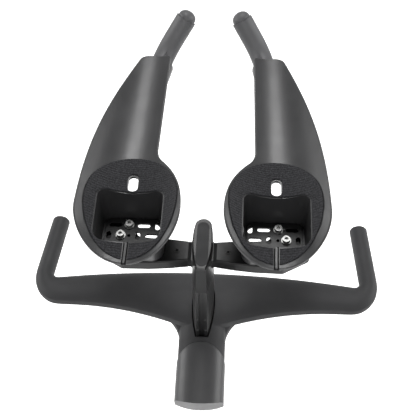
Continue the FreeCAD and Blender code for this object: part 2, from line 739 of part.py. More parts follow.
def on_head_foot(edge):
    return all(abs(vertex.Point.z - floor) < 0.01 for vertex in edge.Vertexes)


head_footed = soften("head_footed", head_cut, 0.8, on_head_foot, "Part::Chamfer")
head_bevelled = soften("head_bevelled", head_footed, size("head_bevel"), on_head_top, "Part::Chamfer")
head_boss = to_arm(box("head_boss", "2 * boss_half", "root_depth", "wing_thick", "0", "0", "0"))
boss_low = -size("plate_thick") - size("floor_thick") - size("wing_thick")
boss_up = PITCH.multVec(Vector(0, 0, boss_low))
bind(head_boss, **{"Placement.Base.x": "-boss_half", "Placement.Base.y": f"arm_back + {boss_up.y}",
                   "Placement.Base.z": f"arm_level + {boss_up.z}"})


cap_pill = slot("cap_pill", "cap_width", "cap_length", "cap_depth", "0", "(head_front - post_rear) / 2",
                "-cap_depth + 0.3")
cap_seat = slot("cap_seat", "(cap_width + 2 * fit_gap)", "(cap_length + 2 * fit_gap)", "cap_depth + 10", "0",
                "(head_front - post_rear) / 2", "-cap_depth + 0.3")
for pill in (cap_pill, cap_seat):
    pill.Placement = Placement(Vector(), PITCH)
    bind(pill, **{"Placement.Base.y": "post_rear", "Placement.Base.z": top_level})
head_cap = cap_pill
head_cap.Label = "head_cap"
axle_bore = rod("head_axle_bore", "axle_dia / 2 + fit_gap", "200", "-100", axle_u, axle_w, X_AXIS)
axle_hole = to_arm(group("head_axle_hole", axle_bore))
under_head = f"{stack_top} - 1"
head_threads = [rod(f"head_thread{side}", "riser_bolt / 2 + 0.05", "riser_grip + 2", "0", row, under_head)
                for side, row in enumerate(bolt_rows)]
riser_head = cut("riser_head", fuse("head_sum", head_bevelled, head_boss), cap_seat, axle_hole, *head_threads)

# Bridge: a wing on each side of the head, a dark collar at its root and one axle through all.
inner_end = "(boss_half + collar_thick)"
root = size("boss_half") + size("collar_thick")
deep = size("root_depth")
well = size("well_x")
far = size("wing_tip")
reach = size("wing_front")
shoulder = size("wing_shoulder")
side = size("wing_side")
step = size("wing_step")
wing_plan = polygon("wing_plan", [
    ((root, 0), inner_end, "0"),
    ((root + shoulder, -3), f"{inner_end} + wing_shoulder", "-3"),
    ((well - shoulder, -5), "well_x - wing_shoulder", "-5"),
    ((well + shoulder / 2, -5.5), "well_x + wing_shoulder / 2", "-5.5"),
    ((far, reach - side), "wing_tip", "wing_front - wing_side"),
    ((far, reach - 3), "wing_tip", "wing_front - 3"),
    ((well + 1, reach), "well_x + 1", "wing_front"),
    ((well - 6, reach - step), "well_x - 6", "wing_front - wing_step"),
    ((well - shoulder, deep + 3), "well_x - wing_shoulder", "root_depth + 3"),
    ((root + shoulder, deep + 2.2), f"{inner_end} + wing_shoulder", "root_depth + 2.2"),
    ((root, deep), inner_end, "root_depth"),
], z=wing_low)
wing_prism = extrude("wing_prism", wing_plan, "wing_thick")


def wing_corner(edge):
    return upright(edge) and edge.valueAt(0).x > root + 5


wing_turned = soften("wing_turned", wing_prism, 6, wing_corner)


def outer_loop(edge):
    level = edge.BoundBox.ZLength < 0.01
    return level and edge.BoundBox.XMax > root + 0.01


wing_eased = soften("wing_eased", wing_turned, size("wing_round"), outer_loop)
screw_hole = rod("wing_screw_hole", "wing_screw / 2 + 0.05", "30", "wing_screw_x", axle_u, axle_w)
bolt_places = [("well_x + 4.4", "plate_first"), ("well_x + 13.3", "(plate_first - plate_row)")]
wing_holes = [rod(f"wing_thread{count}", "arm_bolt / 2 + 0.05", "30", x, u, f"{wing_low} + 1")
              for count, (x, u) in enumerate(bolt_places)]
wing_axle = rod("wing_axle_hole", "axle_dia / 2 + 0.05", "axle_half + 1", "0", axle_u, axle_w, X_AXIS)
wing_right = to_arm(cut("wing_right", wing_eased, screw_hole, wing_axle, *wing_holes))

collar_body = box("collar_body", "collar_thick", "root_depth", "wing_thick", "boss_half", "0", wing_low)


def crosswise(edge):
    return abs(edge.tangentAt(edge.FirstParameter).x) > 0.99


collar_round = soften("collar_round", collar_body, 3, crosswise)
collar_hole = rod("collar_hole", "axle_dia / 2 + 0.05", "100", "0", axle_u, axle_w, X_AXIS)
collar_right = to_arm(cut("collar_right", collar_round, collar_hole))

axle_rod = rod("axle_rod", "axle_dia / 2", "2 * axle_half", "-axle_half", axle_u, axle_w, X_AXIS)
bridge_axle = to_arm(group("bridge_axle", axle_rod))

set_screws = []
for count, sign in enumerate("-+"):
    name = f"wing_screw{count}"
    whole = rod(name + "_body", "wing_screw / 2", "wing_screw * 0.7", f"{sign}wing_screw_x", axle_u,
                f"{axle_w} + axle_dia / 2 + 0.1")
    hexed = hexagon(name + "_socket", "wing_screw * 0.29", "10", f"{sign}wing_screw_x", axle_u,
                    f"{axle_w} + axle_dia / 2 + wing_screw * 0.35")
    set_screws.append(cut(name, whole, hexed))
wing_screws = to_arm(group("wing_screws", *set_screws))

# Forearm extension: a conical trough inside a pear-shaped outline.
cone_lean = math.atan2(size("trough_rear") - size("trough_front"), size("trough_length"))
cone_turn = Rotation(Z_AXIS, size("trough_yaw")) * Rotation(X_AXIS, -90 - math.degrees(cone_lean))
CONE_BACK = -50


def trough_cone(name, offset):
    """Cone whose lowest line is the trough's floor, moved outwards by offset."""
    cone = bind(doc.addObject("Part::Cone", name), Radius1=f"trough_rear + {offset}",
                Radius2=f"trough_front + {offset}", Height="trough_length")
    lift = size("trough_low") + size("trough_rear") * math.cos(cone_lean)
    along = CONE_BACK + size("trough_rear") * math.sin(cone_lean)
    side = size("well_x") - (along - size("cup_along")) * math.tan(math.radians(size("trough_yaw")))
    cone.Placement = Placement(Vector(side, along, lift), cone_turn)
    return cone


cup = Vector(size("well_x"), size("cup_along"), 0)
radius = size("cup_radius")
far_corner = Vector(size("tip_outer"), size("arm_length"), 0)
near_corner = Vector(size("tip_inner"), size("arm_length") - 3, 0)
outer = inner_tangent(cup, radius, size("arm_outer"), far_corner, 1)
inner = Vector(cup.x - radius + size("cup_inner"), cup.y, 0)
waist_drop = math.acos((inner.x - size("waist")) / size("cup_inner"))
waist = inner + Vector(-math.cos(waist_drop), math.sin(waist_drop), 0) * size("cup_inner")
touch = angle(cup - outer)
arm_plan = doc.addObject("Sketcher::SketchObject", "arm_plan")
arm_plan.addGeometry(arc(outer, size("arm_outer"), touch, angle(far_corner - outer)))
arm_plan.addGeometry(arc(cup, radius, -math.pi, touch))
arm_plan.addGeometry(arc(inner, size("cup_inner"), math.pi - waist_drop, math.pi))
arm_plan.addGeometry(Part.LineSegment(waist, near_corner))
arm_plan.addGeometry(Part.LineSegment(near_corner, far_corner))
link(arm_plan, "Tangent", 0, 1, 1, 2)
link(arm_plan, "Tangent", 1, 1, 2, 2)
link(arm_plan, "Coincident", 2, 1, 3, 1)
link(arm_plan, "Coincident", 3, 2, 4, 1)
link(arm_plan, "Coincident", 4, 2, 0, 2)
link(arm_plan, "Horizontal", 1, 3, 2, 3)
rule(arm_plan, "cup_x", "well_x", "DistanceX", -1, 1, 1, 3, cup.x)
rule(arm_plan, "cup_y", "cup_along", "DistanceY", -1, 1, 1, 3, cup.y)
rule(arm_plan, "cup_r", "cup_radius", "Radius", 1, radius)
rule(arm_plan, "outer_r", "arm_outer", "Radius", 0, size("arm_outer"))
rule(arm_plan, "inner_r", "cup_inner", "Radius", 2, size("cup_inner"))
rule(arm_plan, "waist_x", "waist", "DistanceX", -1, 1, 3, 1, waist.x)
rule(arm_plan, "near_x", "tip_inner", "DistanceX", -1, 1, 3, 2, near_corner.x)
rule(arm_plan, "near_y", "arm_length - 3", "DistanceY", -1, 1, 3, 2, near_corner.y)
rule(arm_plan, "far_x", "tip_outer", "DistanceX", -1, 1, 4, 2, far_corner.x)
rule(arm_plan, "far_y", "arm_length", "DistanceY", -1, 1, 4, 2, far_corner.y)
at(arm_plan, z="trough_low - 20")
arm_prism = extrude("arm_prism", arm_plan, "70")


def upright_near(spot):
    def pick(edge):
        return upright(edge) and (Vector(edge.Vertexes[0].X, edge.Vertexes[0].Y, 0) - spot).Length < 1
    return pick


prism_waist = soften("prism_waist", arm_prism, size("waist_round"), upright_near(waist))
prism_far = soften("prism_far", prism_waist, 15, upright_near(far_corner))
prism_near = soften("prism_near", prism_far, 6, upright_near(near_corner))
trough_void = trough_cone("trough_void", "0")
trough_back = trough_cone("trough_back", "shell")
trough_mid = trough_cone("trough_mid", "shell / 2")
band = cut("band", common("band_block", prism_near, trough_back), trough_void)


def sharp_rim(edge):
    spot = middle(edge)
    gap = Part.Vertex(Vector(spot.x, spot.y, size("trough_low") - 20)).distToShape(rim_line)[0]
    return gap < 0.05 and not upright(edge)


doc.recompute()
rim_line = min(prism_near.Shape.Faces, key=lambda face: face.CenterOfMass.z).OuterWire
rim = soften("rim", band, size("rim_round"), sharp_rim)


def drafted(name, margin, low, high):
    """Tapered well prism; the wedge's own height runs up the arm's normal."""
    wedge = doc.addObject("Part::Wedge", name)
    spread = f"well_draft * ({high} - {low}) / trough_low"
    start = f"well_draft * ({low}) / trough_low"
    bind(wedge, Ymin="0", Ymax=f"{high} - {low}")
    bind(wedge, Xmin=f"-well_half - {margin} - {start} * well_spread",
         Xmax=f"well_half + {margin} + {start} * well_spread")
    bind(wedge, Zmin=f"-well_length / 2 - {margin} - {start}", Zmax=f"well_length / 2 + {margin} + {start}")
    bind(wedge, X2min=f"-well_half - {margin} - ({start} + {spread}) * well_spread",
         X2max=f"well_half + {margin} + ({start} + {spread}) * well_spread")
    bind(wedge, Z2min=f"-well_length / 2 - {margin} - {start} - {spread}",
         Z2max=f"well_length / 2 + {margin} + {start} + {spread}")
    at(wedge, "well_x", "well_length / 2 - 1.5", low, Rotation(X_AXIS, 90))
    rounding = size("well_corner") + (size(margin) if margin in NAMES else 0)
    return soften(name + "_round", wedge, rounding, leaning)


def leaning(edge):
    return edge.BoundBox.ZLength > 0.01


well_outer = drafted("well_outer", "well_wall", "-plate_thick - floor_thick", "trough_low + 20")
well_inner = drafted("well_inner", "0", "-plate_thick", "trough_low + 30")
well_middle = "well_length / 2 - 1.5"
window_blank = box("window_blank", "2 * window_half", "window_length", "40", "well_x - window_half",
                   f"{well_middle} - window_length / 2", "-30")
window = soften("window", window_blank, size("well_corner") - 3, upright)

# Grip socket under the front of the trough, turned in towards the middle, with a tapered rear.
grip_w = "(trough_low - grip_drop)"
socket_radius = "(grip_dia / 2 + socket_wall)"
seat_turn = math.radians(size("seat_yaw"))
SEAT = Vector(-math.sin(seat_turn), math.cos(seat_turn), 0)


def seat_x(back):
    return f"grip_x + ({back}) * sin(seat_yaw * 1 deg)"


def seat_u(back):
    return f"arm_length - ({back}) * cos(seat_yaw * 1 deg)"


def seat_rod(name, radius, height, back):
    """Cylinder along the socket's axis, from a distance behind the arm's front."""
    return rod(name, radius, height, seat_x(back), seat_u(back), grip_w, SEAT)


socket_tube = seat_rod("socket_tube", socket_radius, "grip_seat + 2", "grip_seat + 5")
socket_cone = bind(doc.addObject("Part::Cone", "socket_cone"), Radius1=f"{socket_radius} * 0.25",
                   Radius2=socket_radius, Height="socket_taper")
cone_back = "grip_seat + 5 + socket_taper"
at(socket_cone, seat_x(cone_back), seat_u(cone_back), grip_w, Rotation(Z_AXIS, SEAT))
below = cut("below", fuse("below_sum", well_outer, socket_tube, socket_cone), trough_mid)
socket_bore = seat_rod("socket_bore", "grip_dia / 2 + 0.1", "grip_seat + 60", "grip_seat")
front_slot = slot("front_slot", "slot_width", "slot_length", "60", "well_x",
                  "well_length + well_draft + slot_length / 2 + 1", "0")
split_floor = "trough_low - shell * 0.85"
split_back = "-well_draft - 60 + 3"
splits = [box(f"split{count}", "split_width", "60", "40", f"well_x {offset}", split_back, split_floor)
          for count, offset in enumerate(("+ split_rib / 2", "- split_rib / 2 - split_width"))]
screw_spots = [(seat_x(back), seat_u(back)) for back in ("grip_seat * 0.3", "grip_seat * 0.7")]
screw_low = f"({grip_w} - {socket_radius} - 2)"
screw_holes = [rod(f"grip_screw_hole{count}", "grip_screw / 2 + 0.05", "socket_wall + 6", x, u, screw_low)
               for count, (x, u) in enumerate(screw_spots)]
arm_right = to_arm(cut("arm_right", fuse("arm_sum", rim, below), well_inner, window, socket_bore, front_slot,
                       *splits, *screw_holes))

# Slotted plate on the floor of the well, with rows of crossed slots, held by two bolts with washers.
plate_blank = box("plate_blank", "2 * well_half - 4", "well_length - 3", "plate_thick",
                  "well_x - well_half + 2", "0", "-plate_thick")
plate_round = soften("plate_round", plate_blank, size("plate_corner"), upright)


def on_plate_top(edge):
    return all(abs(vertex.Z) < 0.01 for vertex in edge.Vertexes)


plate_bevelled = soften("plate_bevelled", plate_round, 0.6, on_plate_top, "Part::Chamfer")
plate_slots = []
cross_slots = [(-28, 0, True), (-12.3, 0, False), (4.4, 0, True), (20.2, 0, False),
               (-22, 1, False), (-6.2, 1, True), (13.3, 1, True), (27, 1, True),
               (-28, 2, True), (-12.3, 2, False), (4.4, 2, True), (20.2, 2, False)]
for count, (x, row, lengthwise) in enumerate(cross_slots):
    length = "plate_slot * 1.9" if lengthwise else "plate_slot * 2.6"
    plate_slots.append(slot(f"plate_slot{count}", "plate_slot", length, "20", f"(well_x + {x})",
                            f"(plate_first - {row} * plate_row)", "-10", lengthwise))
second_row = "plate_first - plate_row"
plate_slots.append(rod("plate_hole", "plate_slot * 0.35", "20", "well_x + 4", second_row, "-10"))
plate_right = to_arm(cut("plate_right", plate_bevelled, *plate_slots))

bolts = []
washers = []
for count, (x, u) in enumerate(bolt_places):
    name = f"arm_bolt{count}"
    shank = rod(name + "_shank", "arm_bolt / 2", f"washer_thick - {wing_top} + wing_thick - 3", x, u,
                f"{wing_low} + 3")
    head = rod(name + "_head", "arm_bolt * 0.85", "arm_bolt * 0.75", x, u, "washer_thick")
    hexed = hexagon(name + "_socket", "arm_bolt * 0.46", "arm_bolt", x, u, "washer_thick + arm_bolt * 0.25")
    bolts.append(cut(name, fuse(name + "_whole", shank, head), hexed))
    disc = rod(f"washer{count}_disc", "washer_dia / 2", "washer_thick", x, u, "0")
    hole = rod(f"washer{count}_hole", "arm_bolt / 2 + 0.15", "10", x, u, "-5")
    washers.append(cut(f"washer{count}", disc, hole))
bolts_right = to_arm(group("arm_bolts_right", *bolts))
washers_right = to_arm(group("washers_right", *washers))

# Loop pad: a thin sheet on the trough, open at the well, the slot and the rear grooves.
pad_ring = bind(doc.addObject("Part::Ellipse", "pad_ring"), MajorRadius="pad_reach", MinorRadius="pad_half")
at(pad_ring, "pad_x", "pad_along", "0", Rotation(Z_AXIS, 90))
pad_oval = extrude("pad_oval", pad_ring, "85")
pad_limit = bind(doc.addObject("Part::Offset2D", "pad_limit"), Value="-pad_inset")
pad_limit.Source = arm_plan
pad_prism = common("pad_prism", pad_oval, extrude("pad_limit_prism", pad_limit, "85"))
pad_void = trough_cone("pad_void", "(0 - pad_lift - pad_thick)")
pad_under = trough_cone("pad_under", "(0 - pad_lift)")
pad_band = cut("pad_band", common("pad_block", pad_prism, pad_under), pad_void)
pad_well = drafted("pad_well", "pad_thick", "-plate_thick", "trough_low + 30")
pad_slot = slot("pad_slot", "(slot_width + 2)", "(slot_length + 4)", "90", "well_x",
                "well_length + well_draft + slot_length / 2 + 1", "0")
pad_gap = "(split_rib + 2 * split_width + 1.2)"
pad_split = box("pad_split", pad_gap, "60", "90", f"well_x - {pad_gap} / 2", "-60", "0")
loop_pad_right = to_arm(cut("loop_pad_right", pad_band, pad_well, pad_slot, pad_split))

# Grip: a tube from the socket, bent up and inwards, with a domed plug in its end.
NOTCH_ROLL = math.radians(22)
toe = math.radians(size("grip_toe"))
lift = math.radians(size("grip_lift"))
heading = Vector(-math.sin(toe) * math.cos(lift), math.cos(toe) * math.cos(lift), math.sin(lift))
swing = math.acos(heading.dot(SEAT))
to_side = (heading - SEAT * heading.dot(SEAT)).normalize()
grip_front = Vector(size("grip_x"), size("arm_length"), size("trough_low") - size("grip_drop"))
grip_start = grip_front - SEAT * (size("grip_seat") - 0.2)
bend_start = grip_front - SEAT * size("grip_tuck")
bend = size("grip_bend")


def bend_point(turn):
    return bend_start + SEAT * (bend * math.sin(turn)) + to_side * (bend * (1 - math.cos(turn)))


bend_end = bend_point(swing)
grip_end = bend_end + heading * size("grip_hold")
spine = doc.addObject("Part::Feature", "grip_spine")
spine.Shape = Part.Wire([
    Part.LineSegment(grip_start, bend_start).toShape(),
    Part.Arc(bend_start, bend_point(swing / 2), bend_end).toShape(),
    Part.LineSegment(bend_end, grip_end).toShape(),
])


def swept(name, radius_text):
    ring = bind(doc.addObject("Part::Circle", name + "_ring"), Radius=radius_text)
    ring.Placement = Placement(grip_start, Rotation(Z_AXIS, SEAT))
    obj = doc.addObject("Part::Sweep", name)
    obj.Sections = [ring]
    obj.Spine = (spine, ["Edge1", "Edge2", "Edge3"])
    obj.Solid = True
    obj.Frenet = False
    return obj


grip_outer = swept("grip_outer", "grip_dia / 2")
grip_inner = swept("grip_inner", "grip_bore / 2")

# Pointed notch in the top of the grip where it leaves the arm, a mark for its roll.
notch_turn = 2 * size("grip_tuck") / bend
notch_along = SEAT * math.cos(notch_turn) + to_side * math.sin(notch_turn)
notch_side = Z_AXIS.cross(SEAT) * math.sin(NOTCH_ROLL) + Z_AXIS * math.cos(NOTCH_ROLL)
notch_out = (notch_side - notch_along * notch_side.dot(notch_along)).normalize()
grip_notch = bind(doc.addObject("Part::Cone", "grip_notch"), Radius1="grip_dia * 0.11", Radius2="0.2",
                  Height="grip_dia * 0.42")
notch_foot = bend_point(notch_turn / 2) + notch_out * (size("grip_dia") / 2 + 0.8)
grip_notch.Placement = Placement(notch_foot, Rotation(Z_AXIS, notch_along))
grip_right = to_arm(cut("grip_right", grip_outer, grip_inner, grip_notch))

plug_turn = Rotation(Z_AXIS, heading)
plug_stem = bind(doc.addObject("Part::Cylinder", "plug_stem"), Radius="grip_bore / 2 - 0.05",
                 Height="grip_bore * 0.8")
plug_stem.Placement = Placement(grip_end - heading * (size("grip_bore") * 0.8), plug_turn)
plug_flange = bind(doc.addObject("Part::Cylinder", "plug_flange"), Radius="grip_dia / 2 - 1.9", Height="2")
plug_flange.Placement = Placement(grip_end, plug_turn)
plug_dome = bind(doc.addObject("Part::Ellipsoid", "plug_dome"), Radius1="grip_dia * 0.34",
                 Radius2="grip_dia / 2 - 1.9", Radius3="grip_dia / 2 - 1.9")
plug_dome.Angle1 = 0
plug_dome.Angle2 = 90
plug_dome.Placement = Placement(grip_end + heading * 2, plug_turn)
plug_right = to_arm(fuse("plug_right", plug_stem, plug_flange, plug_dome))

grip_screws = []
for count, (x, u) in enumerate(screw_spots):
    name = f"grip_screw{count}"
    body = rod(name + "_body", "grip_screw / 2", "socket_wall + 1.5", x, u,
               f"{grip_w} - grip_dia / 2 - 0.1", Vector(0, 0, -1))
    hexed = hexagon(name + "_socket", "grip_screw * 0.3", "10", x, u,
                    f"{grip_w} - grip_dia / 2 - socket_wall", Vector(0, 0, -1))
    grip_screws.append(cut(name, body, hexed))
grip_screws_right = to_arm(group("grip_screws_right", *grip_screws))

NODES = {
    "base_bar": base_bar,
    "stem_cover": stem_cover,
    "steerer_bolts": steerer_bolts,
    "riser_gasket": riser_gasket,
    "riser_foot": spacers[0],
    "riser_spacer_low": spacers[1],
    "riser_spacer_high": spacers[2],
    "riser_head": riser_head,
    "head_cap": head_cap,
    "riser_bolts": riser_bolt_group,
    "bridge_axle": bridge_axle,
    "wing_screws": wing_screws,
}
PAIRS = {
    "wing": wing_right,
    "wing_collar": collar_right,
    "arm": arm_right,
    "slotted_plate": plate_right,
    "arm_bolts": bolts_right,
    "arm_washers": washers_right,
    "loop_pad": loop_pad_right,
    "grip": grip_right,
    "grip_plug": plug_right,
    "grip_screws": grip_screws_right,
}
for name, obj in PAIRS.items():
    NODES[name + "_right"] = obj
    NODES[name + "_left"] = mirror(name + "_left", obj)
doc.recompute()

for obj in doc.Objects:
    if "Invalid" in obj.State or "Error" in obj.State:
        raise RuntimeError(f"{obj.Name} did not build")
os.makedirs("parts", exist_ok=True)
for name, obj in NODES.items():
    obj.Label = name
    if obj.Shape.isNull() or not obj.Shape.isValid():
        raise RuntimeError(f"{name} is not a valid solid")
    obj.Shape.exportStep(f"parts/{name}.step")
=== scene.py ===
import math
import bpy
from mathutils import Matrix, Quaternion, Vector


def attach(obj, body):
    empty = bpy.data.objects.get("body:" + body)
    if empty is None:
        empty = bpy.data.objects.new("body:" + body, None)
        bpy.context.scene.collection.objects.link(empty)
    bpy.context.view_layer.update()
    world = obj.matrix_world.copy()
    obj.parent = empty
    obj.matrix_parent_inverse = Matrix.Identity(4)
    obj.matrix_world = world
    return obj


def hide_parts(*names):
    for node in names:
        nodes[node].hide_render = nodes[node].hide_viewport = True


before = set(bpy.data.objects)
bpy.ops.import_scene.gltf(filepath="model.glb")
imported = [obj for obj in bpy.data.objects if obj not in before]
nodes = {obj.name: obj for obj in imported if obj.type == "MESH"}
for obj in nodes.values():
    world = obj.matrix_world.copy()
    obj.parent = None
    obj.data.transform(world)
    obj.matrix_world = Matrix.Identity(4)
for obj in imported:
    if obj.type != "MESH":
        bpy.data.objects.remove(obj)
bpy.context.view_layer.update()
scene = bpy.context.scene
scene.view_settings.view_transform = "Standard"

MM = 0.001
PITCH = math.radians(10)
ARM_DATUM = Vector((0, 60.3, 171.7)) * MM


# Materials. All patterns use object coordinates, in metres.

COAT_ROUGH = 0.22
RIB_SCALE = 100
PILE_SCALE = 650


def new_material(name):
    material = bpy.data.materials.new(name)
    material.use_nodes = True
    tree = material.node_tree
    shader = tree.nodes["Principled BSDF"]
    place = tree.nodes.new("ShaderNodeTexCoord").outputs["Object"]
    return material, tree, shader, place


def noise(tree, place, scale, detail=3.0, rough=0.5):
    node = tree.nodes.new("ShaderNodeTexNoise")
    node.inputs["Scale"].default_value = scale
    node.inputs["Detail"].default_value = detail
    node.inputs["Roughness"].default_value = rough
    tree.links.new(place, node.inputs["Vector"])
    return node.outputs["Fac"]


def ramp(tree, value, *stops):
    node = tree.nodes.new("ShaderNodeValToRGB")
    elements = node.color_ramp.elements
    for element, (spot, colour) in zip(elements, stops):
        element.position = spot
        element.color = (*colour, 1)
    for spot, colour in stops[2:]:
        elements.new(spot).color = (*colour, 1)
    tree.links.new(value, node.inputs["Fac"])
    return node.outputs["Color"]


def grey(level, tint=1.04):
    return (level, level, level * tint)


def spread(tree, value, low, high):
    node = tree.nodes.new("ShaderNodeMapRange")
    node.inputs["From Min"].default_value = 0.3
    node.inputs["From Max"].default_value = 0.7
    node.inputs["To Min"].default_value = low
    node.inputs["To Max"].default_value = high
    tree.links.new(value, node.inputs["Value"])
    return node.outputs["Result"]


def bump(tree, height, strength, distance, normal=None):
    node = tree.nodes.new("ShaderNodeBump")
    node.inputs["Strength"].default_value = strength
    node.inputs["Distance"].default_value = distance
    tree.links.new(height, node.inputs["Height"])
    if normal:
        tree.links.new(normal, node.inputs["Normal"])
    return node.outputs["Normal"]


def coated(name, level, rough, shine, grain=1400, mottle=0.12, coat=0.0):
    """Satin paint or moulded plastic: faint mottling, uneven gloss and a fine orange-peel surface."""
    material, tree, shader, place = new_material(name)
    broad = noise(tree, place, 22, 4)
    gloss = noise(tree, place, 60, 5)
    fine = noise(tree, place, grain, 2)
    colour = ramp(tree, broad, (0.3, grey(level * (1 - mottle))), (0.7, grey(level * (1 + mottle))))
    tree.links.new(colour, shader.inputs["Base Color"])
    tree.links.new(spread(tree, gloss, rough - 0.04, rough + 0.05), shader.inputs["Roughness"])
    tree.links.new(bump(tree, fine, 0.12, 0.0002), shader.inputs["Normal"])
    shader.inputs["Specular IOR Level"].default_value = shine
    shader.inputs["Coat Weight"].default_value = coat
    shader.inputs["Coat Roughness"].default_value = COAT_ROUGH
    return material


def steel(name, level, rough):
    """Bright machined steel with fine turning marks."""
    material, tree, shader, place = new_material(name)
    marks = noise(tree, place, 2600, 2, 0.7)
    cloud = noise(tree, place, 400, 3)
    colour = ramp(tree, cloud, (0.3, grey(level * 0.82, 0.98)), (0.7, grey(level, 0.98)))
    tree.links.new(colour, shader.inputs["Base Color"])
    tree.links.new(spread(tree, marks, rough - 0.06, rough + 0.08), shader.inputs["Roughness"])
    tree.links.new(bump(tree, marks, 0.15, 0.0001), shader.inputs["Normal"])
    shader.inputs["Metallic"].default_value = 1.0
    return material


def loop_cloth(name, level):
    """Dark loop fabric with fine ribs across the arm and a fuzzy pile."""
    material, tree, shader, place = new_material(name)
    turn = tree.nodes.new("ShaderNodeMapping")
    turn.inputs["Rotation"].default_value = (-PITCH, 0, 0)
    tree.links.new(place, turn.inputs["Vector"])
    ribs = tree.nodes.new("ShaderNodeTexWave")
    ribs.bands_direction = "Y"
    ribs.inputs["Scale"].default_value = RIB_SCALE
    ribs.inputs["Distortion"].default_value = 2.6
    ribs.inputs["Detail"].default_value = 2
    ribs.inputs["Detail Scale"].default_value = 3
    tree.links.new(turn.outputs["Vector"], ribs.inputs["Vector"])
    pile = noise(tree, place, PILE_SCALE, 5, 0.75)
    shade = tree.nodes.new("ShaderNodeMix")
    shade.data_type = "RGBA"
    shade.blend_type = "MULTIPLY"
    shade.inputs["Factor"].default_value = 1
    ribbed = ramp(tree, ribs.outputs["Fac"], (0.05, grey(level * 0.72)), (0.6, grey(level)))
    tree.links.new(ribbed, shade.inputs["A"])
    tree.links.new(ramp(tree, pile, (0.38, grey(0.3)), (0.62, grey(1.0))), shade.inputs["B"])
    tree.links.new(shade.outputs["Result"], shader.inputs["Base Color"])
    normal = bump(tree, pile, 0.5, 0.0004)
    tree.links.new(bump(tree, ribs.outputs["Fac"], 0.35, 0.0005, normal), shader.inputs["Normal"])
    tree.links.new(spread(tree, pile, 0.8, 0.95), shader.inputs["Roughness"])
    shader.inputs["Specular IOR Level"].default_value = 0.1
    shader.inputs["Sheen Weight"].default_value = 0.08
    shader.inputs["Sheen Roughness"].default_value = 0.5
    return material


MATERIALS = {
    "satin": coated("satin_composite", 0.026, 0.42, 0.5, coat=0.15),
    "bar": coated("bar_composite", 0.032, 0.56, 0.25),
    "cover": coated("cover_composite", 0.034, 0.46, 0.5, coat=0.16),
    "anodised": coated("anodised_black", 0.006, 0.34, 0.18, grain=2200),
    "head": coated("head_black", 0.008, 0.33, 0.28, grain=2200, mottle=0.05),
    "plastic": coated("dark_plastic", 0.009, 0.36, 0.45, grain=1800, mottle=0.05),
    "cap": coated("cap_plastic", 0.030, 0.62, 0.3, grain=1200),
    "plate": coated("black_plate", 0.006, 0.38, 0.3, grain=2400),
    # The gasket finish also serves as painted shade in the grooves of the cups' rear rims.
    "gasket": coated("gasket_rubber_and_painted_shade", 0.006, 0.7, 0.2, grain=1000),
    # Painted light: the grips, the same dark carbon as the arms, and their plug get a base colour about
    # three times the arms', standing in for the light and reflection they catch from behind.
    "plug": coated("plug_rubber", 0.085, 0.5, 0.35, grain=900),
    "grip": coated("grip_composite_painted_light", 0.08, 0.5, 0.4),
    "steel": steel("stainless", 0.36, 0.40),
    "cloth": loop_cloth("loop_cloth", 0.05),
}
FINISH = {
    "satin": ("arm_right", "arm_left"),
    "grip": ("grip_right", "grip_left"),
    "bar": ("base_bar",),
    "cover": ("stem_cover",),
    "anodised": ("wing_right", "wing_left", "wing_screws"),
    "head": ("riser_head",),
    "plastic": ("riser_foot", "riser_spacer"),
    "cap": ("head_cap",),
    "plate": ("slotted_plate",),
    "gasket": ("riser_gasket", "wing_collar"),
    "plug": ("grip_plug",),
    "steel": ("steerer_bolts", "riser_bolts", "bridge_axle", "arm_bolts", "arm_washers", "grip_screws"),
}
for finish, starts in FINISH.items():
    for name, node in nodes.items():
        if any(name.startswith(start) for start in starts):
            node.data.materials.clear()
            node.data.materials.append(MATERIALS[finish])


# Loop pads: a soft sheet on the cone of each trough. Sizes in mm, in the pitched frame of the arms.

CONE_REAR = 80.0
CONE_FRONT = 44.0
CONE_LENGTH = 340.0
CONE_START = -50.0
CONE_YAW = math.radians(1.6)
WELL_X = 81.0
CUP_ALONG = 24.0
TROUGH_LOW = 38.7
CONE_LEAN = math.atan2(CONE_REAR - CONE_FRONT, CONE_LENGTH)
CONE_AXIS = Vector((-math.sin(CONE_YAW) * math.cos(CONE_LEAN), math.cos(CONE_YAW) * math.cos(CONE_LEAN),
                    -math.sin(CONE_LEAN)))
cone_along = CONE_START + CONE_REAR * math.sin(CONE_LEAN)
cone_across = WELL_X - (cone_along - CUP_ALONG) * math.tan(CONE_YAW)
CONE_BASE = Vector((cone_across, cone_along, TROUGH_LOW + CONE_REAR * math.cos(CONE_LEAN)))
PAD_MIDDLE = Vector((WELL_X, 25.0))
PAD_CENTRE = Vector((79.4, 38.9))
PAD_HALF = (51.0, 68.0)
RIM_CENTRE = Vector((148.0, CUP_ALONG))
RIM_RADIUS = 122.0
WELL_HALF = (37.6, 33.5)
WELL_CORNER = 12.4
SLOT_HALF = 6.5
SLOT_END = 83.6
SLOT_BACK = 66.1
GAP_HALF = 3.3
SPLIT_HALF = 2.9
SPLIT_FRONT = -8.0
SPLIT_DEPTH = 3.2
SPLIT_SUNK = 0.2
PAD_ROUNDS = 520
PAD_RINGS = 44
PAD_UNDER = 0.25
PAD_EDGE = 0.25
PAD_THICK = 1.5
PAD_EASE = 1.3
END_STEP = 0.5
BRIDGE_TOP = 1.7
BRIDGE_STEPS = 24
BRIDGE_ROWS = 4
HALVINGS = 40


def on_trough(across, along, lift):
    """Point of the trough at a plan position, raised by lift square to the cone."""
    low = 0.0
    high = CONE_BASE.z
    slope = (CONE_REAR - CONE_FRONT) / CONE_LENGTH
    for step in range(HALVINGS):
        height = (low + high) / 2
        arm = Vector((across, along, height)) - CONE_BASE
        reach = arm.dot(CONE_AXIS)
        if (arm - CONE_AXIS * reach).length > CONE_REAR - slope * reach - lift:
            low = height
        else:
            high = height
    return Vector((across, along, high))


def to_world(point, side):
    turned = Matrix.Rotation(PITCH, 3, "X") @ (point * MM) + ARM_DATUM
    return Vector((turned.x * side, turned.y, turned.z))


